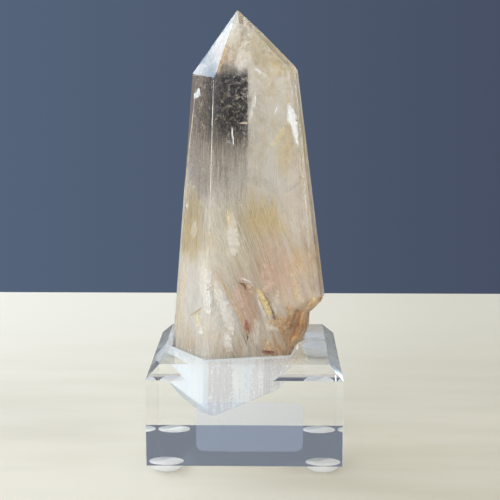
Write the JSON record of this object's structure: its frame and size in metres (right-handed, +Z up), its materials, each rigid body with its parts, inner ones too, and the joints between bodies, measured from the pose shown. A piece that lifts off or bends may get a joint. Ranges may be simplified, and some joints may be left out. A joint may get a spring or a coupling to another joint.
{
  "type": "quartz tower on a clear block",
  "caption": "Polished tapering six-sided quartz tower with cream, gold and pink fibres inside, standing in a milled socket of a clear acrylic block with bumper pads and a bare label film.",
  "frame": {"origin": "middle of the block's footprint, on the surface that the bumper pads stand on", "axes": "+Z up along the crystal, -Y towards the viewer and the label, +X to the viewer's right"},
  "size_m": [0.056, 0.0565, 0.1313],
  "materials": {
    "quartz": "polished",
    "acrylic": "polished",
    "bumper": "gloss",
    "label": "satin"
  },
  "bodies": {
    "root": {"quartz_tower": "quartz", "acrylic_base": "acrylic", "bumper_pad_front_left": "bumper", "bumper_pad_front_right": "bumper", "bumper_pad_back_left": "bumper", "bumper_pad_back_right": "bumper", "label_film": "label"}
  },
  "joints": []
}
